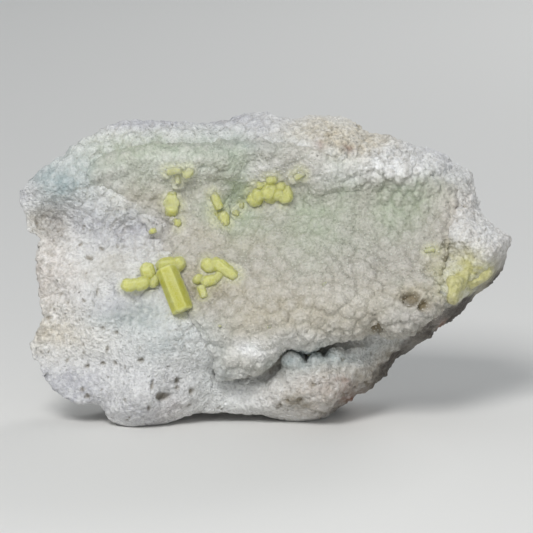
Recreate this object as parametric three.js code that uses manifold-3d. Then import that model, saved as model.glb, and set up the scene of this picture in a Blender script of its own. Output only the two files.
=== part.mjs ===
// An ettringite specimen: a broken plate of pale host rock that stands on its rough base and leans
// back a little. A pale green crystal crust coats most of its front, ends below in an overhanging
// ledge, and carries lemon-yellow ettringite crystals. Millimetres, +Z up, front toward -Y.
//
// Every piece is shaped on the face, which is the front before it leans back: x runs to the right,
// z runs up, and "out" is how far a point stands toward the viewer.

import * as THREE from "three";
import { ConvexGeometry } from "three/addons/geometries/ConvexGeometry.js";
import { mergeVertices } from "three/addons/utils/BufferGeometryUtils.js";
import Module from "manifold-3d";

const wasm = await Module();
wasm.setup();

// Driving dimensions
const LEAN = THREE.MathUtils.degToRad(11); // how far the face leans back
const FOOT_WEAR = 0.8; // height lost where the lowest points are broken flat
const ROCK_HEIGHT = 70;
const BASE_DEPTH = 25; // from the face plane to the back, at the base
const TOP_DEPTH = 12; // and at the top
const ROCK_EDGE = 8; // radius of the rock's rounded front edge
const BACK_EDGE = 12; // radius of its rounded back edge
const BACK_SHARE = 0.95; // size of the back rim next to the front rim
const TOP_SIDE = 3; // depth of the side between the two rims, at the top
const BASE_SIDE = 15; // and at the base
const SIDE_BAND = 14; // height over which the side narrows from its depth at the base
const LEAST_BACK = 1; // how far the back stands behind its rim at least
const CRUST_PROUD = 2.4; // how far the crust stands above the rock under it
const CRUST_LEAST = 1; // least thickness of the crust
const CRUST_LIP = 3; // width of the rounded lip along the crust's edge
const CRUST_THINNING = 0.45; // share of its thickness that the crust loses at its very edge
const CRUST_ROOT = 2; // how far the crust's blank reaches into the rock before it is cut
const GAP = 0.35; // between two pieces that touch

// Level of the rock's front edge: it runs back to the right, and most at the lower right
const RIM_OUT = -4;
const RIM_SLOPE = [-0.12, -0.03]; // change of level for each millimetre to the right and up
const RIM_FORMS = [[33, 12, 20, 15, -5]]; // as in FACE_FORMS below
const FACE_OUT = -1; // mean level of the face inside its edge

// Mesh fineness: distance between neighbouring points, and how much of it they stray at random
const ROCK_STEP = 2.3;
const BACK_STEP = 4.5;
const CRUST_STEP = 2.3;
const STRAY = { share: 0.3, layers: [20, 21] };
const MERGE = 1e-4; // points closer than this are one

// Random relief: size of its lumps, their rise, and which random numbers it uses
const FACE_WAVES = [{ size: 13, rise: 1.2, layer: 1 }, { size: 7, rise: 0.9, layer: 2 }];
const ROCK_WAVES = [{ size: 4.2, rise: 0.8, layer: 3 }];
const ROCK_LUMPS = [{ size: 5, rise: 0.7, layer: 4 }];
const BACK_WAVES = [{ size: 17, rise: 2.2, layer: 5 }, { size: 7, rise: 1.1, layer: 6 }];
const CRUST_LUMPS = [{ size: 6, rise: 1.5, layer: 7 }, { size: 3.2, rise: 0.5, layer: 9 }];
const LUMP_MEAN = 0.65; // mean height of a field of lumps, as a share of their rise
const SIDE_WAVE = { size: 5, rise: 1.2, layer: 22 };

// Colours
const STONE_WHITE = 0xc9c7c1;
const CRUST_GREEN = 0xacb2a0;
const LEMON = 0xc0bd50;
const PALE_LEMON = 0xc4c592;
const MUSTARD = 0xb3af80;

// Outline of the rock, [x, z], anticlockwise from its right tip
const ROCK_OUTLINE = [
  [55, 40.5], [54.5, 43], [50.5, 45], [47.5, 48.5], [47.5, 51], [45.5, 54], [46, 55.5], [43.5, 58],
  [41, 58], [39.5, 60.5], [38.5, 61.5], [35, 61.5], [26.5, 66], [22.5, 65.5], [20, 68.5], [17, 69.5],
  [10.5, 70], [5, 68.5], [-1, 70], [-4.5, 70], [-8, 68.5], [-12, 67.5], [-22.5, 67.5], [-27.5, 68.5],
  [-32, 68], [-37, 66], [-39, 64], [-46.5, 60.5], [-50, 57], [-54, 54], [-55, 52], [-54.5, 49.5],
  [-53, 47], [-53, 43.5], [-49, 43], [-50.5, 41.5], [-51, 37], [-50.5, 33.5], [-51, 29], [-49.5, 28],
  [-49.5, 24], [-52, 19], [-52.5, 16.5], [-50, 13.5], [-49.5, 12], [-46.5, 8.5], [-42, 5.5],
  [-38.5, 6], [-36, 5.5], [-35.5, 3], [-35, 2], [-30, 0], [-27, 0.5], [-22.5, 1], [-19, 2.5],
  [-14, 3.5], [-7, 3.5], [-1.5, 3], [6, 1], [13, 2], [20.5, 7.5], [24, 9], [27, 12.5], [31, 16],
  [33.5, 17], [36, 20], [44.5, 26.5], [46, 28.5], [47, 30], [51.5, 33], [54.5, 38.5],
];
const ROCK_CENTRE = [-4, 38.5];

// Outline of the crust, [x, z], anticlockwise from its left end and along the ledge first
const CRUST_OUTLINE = [
  [-42, 55], [-41, 52], [-36.5, 50.5], [-32, 49.5], [-31, 46], [-26.5, 42.5], [-25.5, 40.5],
  [-24, 37], [-22, 31], [-18.5, 25.5], [-14, 18.5], [-11.5, 16], [-11, 11], [-6, 12], [-2, 12.5],
  [0, 13.5], [2, 16], [3, 18.5], [4.5, 19], [7.5, 18.5], [9, 17], [11, 18.5], [14.5, 20], [20, 20],
  [22, 21], [23.5, 22.5], [26.5, 20.5], [30, 20.5], [34, 21.5], [37, 24.5], [38.5, 28], [37.5, 31],
  [38, 35], [39.5, 38.5], [43, 47.5], [44, 51.5], [43, 55], [38, 59], [33.5, 60.5], [25, 62.5],
  [17, 61], [10, 63.5], [6, 65], [-1, 67.5], [-3.5, 67], [-7, 65], [-14.5, 65], [-23.5, 66],
  [-32.5, 65], [-38.5, 62.5], [-42, 58.5],
];
const CRUST_CENTRE = [5, 42];

// Swells and hollows of the whole face: [x, z, half-width, half-height, rise]
const FACE_FORMS = [
  [16, 27, 26, 13, 12], // shelf of the crust
  [-20, 20, 17, 14, 9], // white shoulder at the lower left
  [-48, 54, 10, 6, 5], // left tongue
  [-38, 32, 12, 12, 5], // left flank
  [-26, 61, 24, 6, 4], // top left swell
  [17, 62, 26, 7, 5], // top right swell
  [48, 42, 9, 7, 8], // right tip
  [-28, 5, 9, 6, 6], // front foot
  [14, 8, 22, 7, 6], // brown rock below the shelf
  [35, 27, 9, 8, 5], // right end of the shelf
  [20, 49, 42, 5, -2.5], // long trough across the crust
  [-4, 57.5, 2.4, 6, -2.5], // upright valley, upper part
  [-6.5, 48, 4, 5, -3], // and lower part
  [40.5, 39, 5, 2.8, -4], // hollow inside the right tip
  [-47, 45.5, 6, 2.8, -4.5], // notch under the tongue
  [-16.5, 30, 2.2, 4, -2.2], // pocket right of the main crystal
  [-12, 31, 3.5, 1.6, -1.8], // pocket below the right cluster
  [-23, 27.5, 2, 2, -1.2], // pocket left of the main crystal
];

// Hollows and knobs of the bare rock only
const ROCK_FORMS = [
  [-5, 11, 9, 5, -5], // under the shelf and below it, left part
  [4.5, 18, 5, 6, -6], // between its two lobes
  [17, 19, 11, 6, -8], // middle part
  [31, 19, 8, 5, -6], // right part
  [5.5, 15, 2.6, 3.6, 4], // three grey knobs in the gap
  [11.5, 14.4, 2.8, 3.2, 4],
  [17.5, 15.6, 3.2, 2.8, 3.5],
  [-31, 44, 2.6, 2.2, -2.5], // small hollow at the crust's corner
  [-36, 30, 2, 3.4, -2.4], // upright slot in the left flank
  [-22.5, 8, 2.4, 2, -3.6], // deep pit above the foot
  [-19, 11, 1.8, 2.2, -2], // pit beside it
  [-37, 14.5, 3.2, 2, -1.4],
  [-45, 30.5, 3, 1.8, -1.6],
  [-39.5, 38.5, 2.8, 2, -2],
  [-33.5, 34.5, 5, 2.2, 1.8], // pale ridges of the left flank
  [-38, 37, 3, 1.8, 1.4],
  [-35.5, 47.5, 5, 3, 1.8],
  [-27, 21, 7, 3, 1.2],
  [-33, 20.5, 2.4, 2.4, -1.2],
];

// Hollows of the crust only
const CRUST_FORMS = [
  [31.5, 29.5, 2.4, 2.8, -4.5], // hollow in the shelf's right end
  [34.5, 28.5, 1.4, 2, -2.5],
  [23.5, 23.5, 2, 2, -1.8], // bay in the ledge
  [3.5, 22, 1.6, 4, 1.2], // ridge beside the lobe
];

// ---- Shape of the face ----

const sum = (forms, x, z) =>
  forms.reduce((total, [x0, z0, halfWidth, halfHeight, rise]) => {
    const far = ((x - x0) / halfWidth) ** 2 + ((z - z0) / halfHeight) ** 2;
    return total + rise * Math.exp(-far);
  }, 0);

// A fixed random number from 0 to 1 for each whole-numbered place
const chance = (i, j, layer) => {
  const s = Math.sin(i * 127.1 + j * 311.7 + layer * 74.7) * 43758.5453;
  return s - Math.floor(s);
};

// Smooth random relief from -1 to 1 whose lumps are about `size` across
function noise(x, z, size, layer) {
  const i = Math.floor(x / size);
  const j = Math.floor(z / size);
  const u = THREE.MathUtils.smoothstep(x / size - i, 0, 1);
  const v = THREE.MathUtils.smoothstep(z / size - j, 0, 1);
  const low = THREE.MathUtils.lerp(chance(i, j, layer), chance(i + 1, j, layer), u);
  const high = THREE.MathUtils.lerp(chance(i, j + 1, layer), chance(i + 1, j + 1, layer), u);
  return THREE.MathUtils.lerp(low, high, v) * 2 - 1;
}

const waves = (layers, x, z) =>
  layers.reduce((total, { size, rise, layer }) => total + rise * noise(x, z, size, layer), 0);

// Rounded crystal lumps about `size` across: 1 on top of each, falling to 0 between them
function lumps(x, z, size, layer) {
  const i = Math.floor(x / size);
  const j = Math.floor(z / size);
  let nearest = 1;
  for (let a = i - 1; a <= i + 1; a++) {
    for (let b = j - 1; b <= j + 1; b++) {
      const dx = x / size - a - chance(a, b, layer);
      const dz = z / size - b - chance(a, b, layer + 1);
      nearest = Math.min(nearest, Math.hypot(dx, dz));
    }
  }
  return 1 - nearest ** 2;
}

// The same lumps around a mean level of 0
const lumpRelief = (layers, x, z) =>
  layers.reduce((total, { size, rise, layer }) => total + rise * (lumps(x, z, size, layer) - LUMP_MEAN), 0);

function distanceTo(outline, x, z) {
  const point = new THREE.Vector3(x, z, 0);
  const side = new THREE.Line3();
  const foot = new THREE.Vector3();
  let nearest = Infinity;
  outline.forEach(([x1, z1], i) => {
    const [x2, z2] = outline[(i + 1) % outline.length];
    side.start.set(x1, z1, 0);
    side.end.set(x2, z2, 0);
    side.closestPointToPoint(point, true, foot);
    nearest = Math.min(nearest, foot.distanceTo(point));
  });
  return nearest;
}

function isInside(outline, x, z) {
  return outline.reduce((inside, [x1, z1], i) => {
    const [x2, z2] = outline[(i + 1) % outline.length];
    const crosses = z1 > z !== z2 > z && x < x1 + ((z - z1) * (x2 - x1)) / (z2 - z1);
    return crosses ? !inside : inside;
  }, false);
}

// Quarter-circle rise from 0 at an edge to 1 at `radius` inside it
const roundOver = (distance, radius) => Math.sqrt(1 - (1 - Math.min(distance / radius, 1)) ** 2);

// How far out the rock's outline lies
const rimOut = (x, z) => RIM_OUT + RIM_SLOPE[0] * x + RIM_SLOPE[1] * z + sum(RIM_FORMS, x, z);

function faceOut(x, z) {
  const rim = rimOut(x, z);
  const form = FACE_OUT + sum(FACE_FORMS, x, z) + waves(FACE_WAVES, x, z);
  return rim + (form - rim) * roundOver(distanceTo(ROCK_OUTLINE, x, z), ROCK_EDGE);
}

// The rock's front is rough where it is bare and even under the crust
function rockOut(x, z) {
  const inCrust = isInside(CRUST_OUTLINE, x, z) ? distanceTo(CRUST_OUTLINE, x, z) : 0;
  const bare = 1 - THREE.MathUtils.smoothstep(inCrust, 0, CRUST_LIP);
  const rough = waves(ROCK_WAVES, x, z) + lumpRelief(ROCK_LUMPS, x, z);
  return faceOut(x, z) + sum(ROCK_FORMS, x, z) + rough * bare;
}

function backOut(x, z) {
  const depth = THREE.MathUtils.lerp(BASE_DEPTH, TOP_DEPTH, z / ROCK_HEIGHT);
  const side = TOP_SIDE + (BASE_SIDE - TOP_SIDE) * Math.exp(-((z / SIDE_BAND) ** 2));
  const rim = rimOut(x, z) - side;
  const form = Math.min(-depth + waves(BACK_WAVES, x, z), rim - LEAST_BACK);
  return rim + (form - rim) * roundOver(distanceTo(ROCK_OUTLINE, x, z), BACK_EDGE);
}

// The smooth level of the crust, without its lumps: crystals stand on it
const crustLevel = (x, z) => faceOut(x, z) + sum(CRUST_FORMS, x, z) + CRUST_PROUD;

// 1 under a crystal, where the crust is even, and 0 away from all of them
function underCrystals(x, z) {
  const cover = ({ at: [x0, z0], length, width }) =>
    Math.exp(-((x - x0) ** 2 + (z - z0) ** 2) / (length * width * EVEN_SHARE));
  return Math.min(1, Object.values(CRYSTALS).flat().reduce((total, each) => total + cover(each), 0));
}

function crustOut(x, z) {
  const back = rockOut(x, z) + GAP;
  const top = crustLevel(x, z) + lumpRelief(CRUST_LUMPS, x, z) * (1 - underCrystals(x, z));
  const toEdge = Math.min(distanceTo(CRUST_OUTLINE, x, z) / CRUST_LIP, 1);
  return back + Math.max(top - back, CRUST_LEAST) * (1 - CRUST_THINNING * (1 - toEdge) ** 2);
}

// The crust's blank reaches into the rock, which is then cut out of it
const crustBlankBackOut = (x, z) => rockOut(x, z) - CRUST_ROOT;

// ---- Solids ----

// A closed geometry as a manifold-3d solid
function solidOf(geometry) {
  const bare = new THREE.BufferGeometry().setAttribute("position", geometry.getAttribute("position"));
  bare.setIndex(geometry.index);
  const merged = mergeVertices(bare, MERGE);
  const triVerts = new Uint32Array(merged.index.array);
  const vertProperties = new Float32Array(merged.attributes.position.array);
  return new wasm.Manifold(new wasm.Mesh({ numProp: 3, vertProperties, triVerts }));
}

function geometryOf(solid) {
  const { vertProperties, triVerts } = solid.getMesh();
  const geometry = new THREE.BufferGeometry();
  geometry.setAttribute("position", new THREE.BufferAttribute(vertProperties, 3));
  geometry.setIndex(new THREE.BufferAttribute(triVerts, 1));
  geometry.computeVertexNormals();
  return geometry;
}

// Cutting can leave loose crumbs: only the largest body is kept
const largestBody = (solid) => solid.decompose().sort((a, b) => b.volume() - a.volume())[0];

// Joins two rings of point numbers, the one nearer the front's centre first, with triangles.
// A ring of one point is the centre itself, so steps along it make no triangle.
function stitch(first, second, faces) {
  let i = 0;
  let j = 0;
  while (i < first.length || j < second.length) {
    const behind = (i + 1) / first.length < (j + 1) / second.length;
    const a = first[i % first.length];
    const b = second[j % second.length];
    if (j >= second.length || (i < first.length && behind)) {
      i++;
      if (first.length > 1) faces.push(a, b, first[i % first.length]);
    } else {
      j++;
      if (second.length > 1) faces.push(a, b, second[j % second.length]);
    }
  }
}

// A slab between two reliefs, built of rings that follow its outline. `frontRings` and `backRings`
// are the rings' sizes as fractions of the outline, from the centre (0) to the rim; points are
// `frontStep` or `backStep` apart, and one more ring runs half way down the side between the rims.
function slab({ outline, centre, frontStep, backStep, frontRings, backRings, front, back }) {
  const path = new THREE.Path(outline.map(([x, z]) => new THREE.Vector2(x, z))).closePath();
  const middle = new THREE.Vector2(...centre);
  const points = [];
  const ring = (fraction, step, out) => {
    const count = fraction ? Math.max(6, Math.round((path.getLength() * fraction) / step)) : 1;
    return Array.from({ length: count }, (_, n) => {
      const p = path.getPoint(n / count).sub(middle).multiplyScalar(fraction).add(middle);
      if (fraction < 1) {
        p.x += STRAY.share * step * noise(p.x, p.y, step, STRAY.layers[0]);
        p.y += STRAY.share * step * noise(p.x, p.y, step, STRAY.layers[1]);
      }
      points.push(p.x, -out(p.x, p.y), p.y);
      return points.length / 3 - 1;
    });
  };
  const side = (x, z) => (front(x, z) + back(x, z)) / 2 + waves([SIDE_WAVE], x, z);
  const sideShare = (1 + backRings.at(-1)) / 2;
  const bands = [
    ...frontRings.map((fraction) => ring(fraction, frontStep, front)),
    ...(sideShare < 1 ? [ring(sideShare, (frontStep + backStep) / 2, side)] : []),
    ...[...backRings].reverse().map((fraction) => ring(fraction, backStep, back)),
  ];
  const faces = [];
  bands.slice(1).forEach((band, k) => stitch(bands[k], band, faces));
  const geometry = new THREE.BufferGeometry();
  geometry.setAttribute("position", new THREE.Float32BufferAttribute(points, 3));
  geometry.setIndex(faces);
  return solidOf(geometry);
}

// `count` even steps from just past one fraction up to another
const evenly = (from, to, count) =>
  Array.from({ length: count }, (_, k) => from + ((to - from) * (k + 1)) / count);

// ---- Crystals ----

const END_NARROWING = 1.2; // share of its width that a crystal's end loses, for each unit of bevel

// A six-sided crystal, `width` across its corners and `thick` through its flats, whose ends narrow
// by `bevel` times its width. It lies on the crust at (x, z), its axis turned clockwise from upright
// by `turn` degrees and its lower end tipped out of the face by `tip` degrees, or points straight
// out when `facing`; `lift` raises its middle above the crust's level.
function crystal({ at, length, width, thick, turn = 0, tip = 0, lift = 0, bevel = 0.3, facing = false }) {
  const shoulder = length / 2 - bevel * width;
  const endShare = 1 - END_NARROWING * bevel;
  const sections = [[-length / 2, endShare], [-shoulder, 1], [shoulder, 1], [length / 2, endShare]];
  const corners = sections.flatMap(([along, share]) =>
    Array.from({ length: 6 }, (_, n) => {
      const across = (width / 2) * Math.cos((n * Math.PI) / 3);
      const through = (thick / Math.sqrt(3)) * Math.sin((n * Math.PI) / 3);
      return new THREE.Vector3(across * share, through * share, along);
    }),
  );
  const [x, z] = at;
  const pose = new THREE.Object3D();
  pose.position.set(x, -(crustLevel(x, z) + lift), z);
  pose.rotation.order = "YXZ";
  pose.rotation.y = THREE.MathUtils.degToRad(turn);
  pose.rotation.x = THREE.MathUtils.degToRad(facing ? 90 + tip : -tip);
  pose.updateMatrix();
  return solidOf(new ConvexGeometry(corners).applyMatrix4(pose.matrix));
}

const cluster = (crystals) => crystals.map(crystal).reduce((joined, each) => joined.add(each));

const CRYSTALS = {
  main_cluster: [
    { at: [-20, 31], length: 11, width: 5.6, thick: 5.2, turn: -22, tip: 10, lift: 1.8, bevel: 0.22 },
    { at: [-21.5, 36.5], length: 5.9, width: 4.2, thick: 4.6, turn: 80, lift: 1.6, bevel: 0.34 },
    { at: [-26, 34.5], length: 5.6, width: 3.4, thick: 3.2, turn: -18, tip: -6, lift: 0.9 },
    { at: [-28.8, 31.8], length: 6.8, width: 2.8, thick: 2.8, turn: 83, lift: -0.1, bevel: 0.35 },
    { at: [-25, 32], length: 5, width: 2.8, thick: 2.8, turn: 55, tip: 6, lift: 0.8 },
  ],
  right_cluster: [
    { at: [-12.8, 35.9], length: 5.4, width: 3.3, thick: 2.8, turn: -12, tip: 8, lift: 1 },
    { at: [-8.8, 35.3], length: 6.8, width: 3.2, thick: 2.8, turn: -55, tip: 6, lift: 0.9, bevel: 0.35 },
    { at: [-13.4, 32.8], length: 5.2, width: 2.8, thick: 2.4, turn: 75, lift: 0.8 },
    { at: [-14.1, 30.5], length: 3.2, width: 1.6, thick: 1.5, turn: -15, tip: 15, lift: 1 },
  ],
  upper_left_cluster: [
    { at: [-20.4, 57], length: 4.2, width: 1.9, thick: 1.8, turn: 86, lift: 0.5 },
    { at: [-19.6, 55.4], length: 3.8, width: 1.5, thick: 1.5, turn: -4, tip: 4, lift: 0.5 },
    { at: [-17.8, 56.7], length: 3.4, width: 2.3, thick: 2, turn: 35, lift: 0.5 },
  ],
  hexagonal_tablet: [
    { at: [-21, 49.5], length: 3, width: 4.7, thick: 4, lift: 0.2, bevel: 0.16, facing: true, tip: 8 },
  ],
  small_crystal_1: [{ at: [-19.6, 45.4], length: 2.4, width: 1.9, thick: 1.6, turn: 10, lift: 0.4 }],
  small_crystal_2: [{ at: [-25, 43.8], length: 2, width: 1.5, thick: 1.4, turn: 80, lift: 0.3 }],
  long_prisms: [
    { at: [-11.3, 50.8], length: 5.4, width: 1.9, thick: 1.8, turn: -33, tip: 4, lift: 0.6 },
    { at: [-9.6, 46.7], length: 5, width: 2.2, thick: 2, turn: -14, tip: 4, lift: 0.7 },
    { at: [-11.5, 47.2], length: 4, width: 1.9, thick: 1.7, turn: -10, lift: 0.5 },
  ],
  bead_1: [{ at: [-6.9, 47.9], length: 2, width: 1.8, thick: 1.6, turn: 20, lift: 0.4, bevel: 0.36 }],
  bead_2: [{ at: [-5.5, 49.8], length: 1.6, width: 1.5, thick: 1.4, lift: 0.4, bevel: 0.36 }],
  upper_right_cluster: [
    { at: [-2.9, 52.3], length: 5, width: 3, thick: 2.8, turn: 24, tip: -6, lift: 0.9 },
    { at: [-1.6, 51], length: 4.6, width: 2.8, thick: 2.8, turn: 55, tip: 4, lift: 1 },
    { at: [0.6, 53], length: 5.4, width: 3.2, thick: 2.8, turn: 28, lift: 1 },
    { at: [3.4, 51.9], length: 4.8, width: 3.1, thick: 2.6, turn: -8, tip: 4, lift: 0.8, bevel: 0.34 },
    { at: [1, 55.4], length: 3, width: 2.3, thick: 2, turn: 70, lift: 0.7 },
  ],
  pale_crystal: [{ at: [7, 56.3], length: 3.6, width: 2.9, thick: 2.2, turn: 50, lift: 0.4 }],
  small_crystal_3: [{ at: [35.9, 39.6], length: 2.4, width: 1.5, thick: 1.4, turn: 85, lift: 0.3 }],
  yellow_patch: [
    { at: [46, 33.8], length: 7.8, width: 4.6, thick: 3.4, turn: 58, lift: -2.4, bevel: 0.3 },
    { at: [42.8, 33], length: 5.4, width: 3.8, thick: 3, turn: 30, lift: -2.4, bevel: 0.3 },
    { at: [40.6, 30.8], length: 6.8, width: 4.6, thick: 3.4, turn: 12, lift: -2, bevel: 0.3 },
  ],
};

// How much of a crystal's length times its width the even patch of crust under it measures
const EVEN_SHARE = 0.4;

const CRYSTAL_COLOURS = { pale_crystal: PALE_LEMON, yellow_patch: MUSTARD };

// ---- The specimen ----

// Everything below the level of the worn feet, as a block turned into the leaning face's frame
const GROUND = { side: 200, depth: 50 };
const ground = solidOf(
  new THREE.BoxGeometry(GROUND.side, GROUND.side, GROUND.depth)
    .translate(0, 0, FOOT_WEAR - GROUND.depth / 2)
    .rotateX(LEAN),
);

// A solid with what it rests on, and a slightly raised copy of that, cut out of it
const restingOn = (support, solid) =>
  largestBody(solid.subtract(support).subtract(support.translate([0, -GAP, 0])));

function makeRock() {
  const rock = slab({
    outline: ROCK_OUTLINE,
    centre: ROCK_CENTRE,
    frontStep: ROCK_STEP,
    backStep: BACK_STEP,
    frontRings: [0, 0.18, 0.34, ...evenly(0.42, 1, 12)], // wide apart under the crust
    backRings: [0, ...evenly(0, BACK_SHARE, 10)],
    front: rockOut,
    back: backOut,
  });
  return largestBody(rock.subtract(ground));
}

function makeCrustBlank() {
  return slab({
    outline: CRUST_OUTLINE,
    centre: CRUST_CENTRE,
    frontStep: CRUST_STEP,
    backStep: BACK_STEP,
    frontRings: [0, ...evenly(0, 1, 15)],
    backRings: [0, ...evenly(0, 1, 5)],
    front: crustOut,
    back: crustBlankBackOut,
  });
}

function pieceOf(name, solid, color, roughness) {
  const material = new THREE.MeshStandardMaterial({ color, roughness, metalness: 0, flatShading: true });
  const mesh = new THREE.Mesh(geometryOf(solid), material);
  mesh.name = name;
  return mesh;
}

const rock = makeRock();
const crustBlank = makeCrustBlank();
const bed = rock.add(crustBlank);

const face = new THREE.Group();
face.rotation.x = -LEAN;
face.add(pieceOf("matrix", rock, STONE_WHITE, 0.9));
face.add(pieceOf("green_crust", restingOn(rock, crustBlank), CRUST_GREEN, 0.6));
for (const [name, crystals] of Object.entries(CRYSTALS)) {
  face.add(pieceOf(name, restingOn(bed, cluster(crystals)), CRYSTAL_COLOURS[name] ?? LEMON, 0.3));
}

// The worn feet stand on Z = 0 and the middle of the bounding box is over the origin
const box = new THREE.Box3().setFromObject(face, true);
face.position.set(-(box.min.x + box.max.x) / 2, -(box.min.y + box.max.y) / 2, -FOOT_WEAR);

const specimen = new THREE.Group();
specimen.name = "ettringite_specimen";
specimen.add(face);

export default specimen;
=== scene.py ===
# %% [markdown]
# # An ettringite specimen
#
# This lesson dresses a mineral specimen: a plate of pale, porous host rock, coated in front with
# a pale green crust of tiny crystals, on which lemon-yellow ettringite prisms grew. The packed
# model holds each piece at its real size and place. It is loaded first, and each piece then gets
# its fine relief as mesh and its finish as shader nodes, in metres and in the same frame.

import math

import bmesh
import bpy
import numpy as np
from mathutils import Matrix, Vector
from mathutils.bvhtree import BVHTree
from mathutils.interpolate import poly_3d_calc
from mathutils.kdtree import KDTree


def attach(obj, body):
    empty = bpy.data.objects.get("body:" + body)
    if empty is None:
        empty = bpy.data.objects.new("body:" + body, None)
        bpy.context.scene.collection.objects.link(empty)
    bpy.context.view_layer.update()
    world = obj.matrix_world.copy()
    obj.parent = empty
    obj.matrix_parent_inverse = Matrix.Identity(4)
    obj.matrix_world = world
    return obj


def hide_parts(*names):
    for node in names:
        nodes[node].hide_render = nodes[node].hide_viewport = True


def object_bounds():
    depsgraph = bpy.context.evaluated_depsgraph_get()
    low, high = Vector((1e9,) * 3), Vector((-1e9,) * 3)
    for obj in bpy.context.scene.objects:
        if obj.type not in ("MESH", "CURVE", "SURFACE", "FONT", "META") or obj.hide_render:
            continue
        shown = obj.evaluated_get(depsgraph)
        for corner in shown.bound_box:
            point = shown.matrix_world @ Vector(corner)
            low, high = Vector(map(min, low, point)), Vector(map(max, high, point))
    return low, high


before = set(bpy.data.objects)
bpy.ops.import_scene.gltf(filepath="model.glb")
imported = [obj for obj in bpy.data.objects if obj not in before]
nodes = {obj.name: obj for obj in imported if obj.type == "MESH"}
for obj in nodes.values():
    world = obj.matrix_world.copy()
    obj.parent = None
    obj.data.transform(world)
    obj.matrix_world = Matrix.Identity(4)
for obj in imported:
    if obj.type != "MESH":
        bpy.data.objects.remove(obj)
cad_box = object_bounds()
print("packed pieces:", ", ".join(sorted(nodes)))

# %% [markdown]
# ## The display face
#
# The specimen leans back a little, so "up" and "out" are not quite Z and -Y. Places on its front
# are given on the display face, in millimetres: x to the right, up the face, and out toward the
# viewer.

# %% Face coordinates
MM = 0.001
LEAN = math.radians(11)
FACE_SHIFT = np.array([-0.133, -9.135, -0.8])  # the face's own origin in the frame, mm
SIN, COS = math.sin(LEAN), math.cos(LEAN)


def to_face(points):
    """Frame metres to face millimetres: columns x, up and out."""
    x, y, z = (np.asarray(points, float).reshape(-1, 3) / MM - FACE_SHIFT).T
    return np.column_stack([x, y * SIN + z * COS, z * SIN - y * COS])


def from_face(places):
    """Face millimetres, as rows of x, up and out, to frame metres."""
    x, up, out = np.asarray(places, float).reshape(-1, 3).T
    turned = np.column_stack([x, up * SIN - out * COS, up * COS + out * SIN])
    return (turned + FACE_SHIFT) * MM


OUTWARD = Vector((0, -COS, SIN))
middle = to_face([(cad_box[0] + cad_box[1]) / 2])[0]
print("middle of the box on the face, mm:", middle.round(1))

# %% [markdown]
# ## Camera
#
# A long lens from most of a metre away keeps the specimen free of perspective, as in a catalogue.
# It looks squarely at the display face, and its length follows from the width that it takes in.

# %% Camera
CAMERA_AWAY = 900 * MM
VIEW_WIDTH = 117.3 * MM  # width of the view at the face
FAR_END = 20  # metres to the end of what the camera shows
AIM = Vector(from_face((-0.1, 36, 0))[0])


def new_object(name, data):
    made = bpy.data.objects.new(name, data)
    bpy.context.scene.collection.objects.link(made)
    return made


def aim(made, place):
    """Puts a camera or lamp at a place in metres, looking at the specimen."""
    made.location = place
    made.rotation_euler = (AIM - made.location).to_track_quat("-Z", "Y").to_euler()


camera = new_object("camera", bpy.data.cameras.new("camera"))
aim(camera, AIM + OUTWARD * CAMERA_AWAY)
camera.data.lens = camera.data.sensor_width * CAMERA_AWAY / VIEW_WIDTH
camera.data.clip_end = FAR_END
bpy.context.scene.camera = camera
print("lens, mm:", round(camera.data.lens, 1))

# %% [markdown]
# ## Random relief
#
# Rock is never even. Blender's noise textures could move the points, but plain array code can be
# steered by zones of the face, so two kinds of relief are written here: smooth noise, and domes.
# Both are seeded, so every run gives the same rock.


# %% Smooth noise
def chance(cells, seed):
    """A fixed random number from 0 to 1 for each whole-numbered cell (x, y, z)."""
    n = cells.astype(np.int64) @ np.array([73856093, 19349663, 83492791]) + seed * 2654435761
    n = (n ^ (n >> 15)) * 2246822519 & 0xFFFFFFFF
    n = (n ^ (n >> 13)) * 3266489917 & 0xFFFFFFFF
    return (n ^ (n >> 16)) / 0xFFFFFFFF


def noise(points, size, seed):
    """Smooth noise from -1 to 1 over points in mm, with lumps about `size` across."""
    cell = np.floor(points / size)
    u = points / size - cell
    u = u * u * (3 - 2 * u)
    total = 0
    for corner in np.ndindex(2, 2, 2):
        share = np.prod(np.where(corner, u, 1 - u), axis=1)
        total = total + share * chance(cell + corner, seed)
    return total * 2 - 1


def fractal(points, size, seed, layers=4):
    """Noise on noise: each layer is half as wide and half as high as the one before."""
    return sum(noise(points, size / 2**k, seed + k) / 2**k for k in range(layers))


# %% [markdown]
# Mineral crusts grow outward from many seeds until they meet, so their skin is a field of domes
# with creases between them. Seeds are scattered at least `spacing` apart, and each point of the
# surface belongs to the dome that stands highest there. Where the next is nearly as high, there
# is a crease.


# %% Domes
CREASE_STEP = 0.3  # difference in height over which a crease ends
BLEND = 14  # how sharply domes meet: a low number fills the creases
DOME_WARP = 0.12  # how far the outlines of the domes wander, as a share of their spacing


def ease(value, low, high):
    """0 at `low`, 1 at `high`, and a smooth change between them."""
    t = np.clip((value - low) / (high - low), 0, 1)
    return t * t * (3 - 2 * t)


def scattered(points, spacing, seed):
    """Numbers of points that are at least `spacing` apart, taken in random order."""
    taken, chosen = {}, []
    cells = np.floor(points / spacing).astype(int)
    steps = list(np.ndindex(3, 3, 3))
    for n in np.random.default_rng(seed).permutation(len(points)):
        a, b, c = cells[n]
        p = points[n]
        near = (taken.get((a + i - 1, b + j - 1, c + k - 1)) for i, j, k in steps)
        if all(q is None or ((p - q) ** 2).sum() > spacing**2 for q in near):
            taken[a, b, c] = p
            chosen.append(n)
    return np.array(chosen)


def search_tree(points):
    tree = KDTree(len(points))
    for i, p in enumerate(points):
        tree.insert(p, i)
    tree.balance()
    return tree


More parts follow.
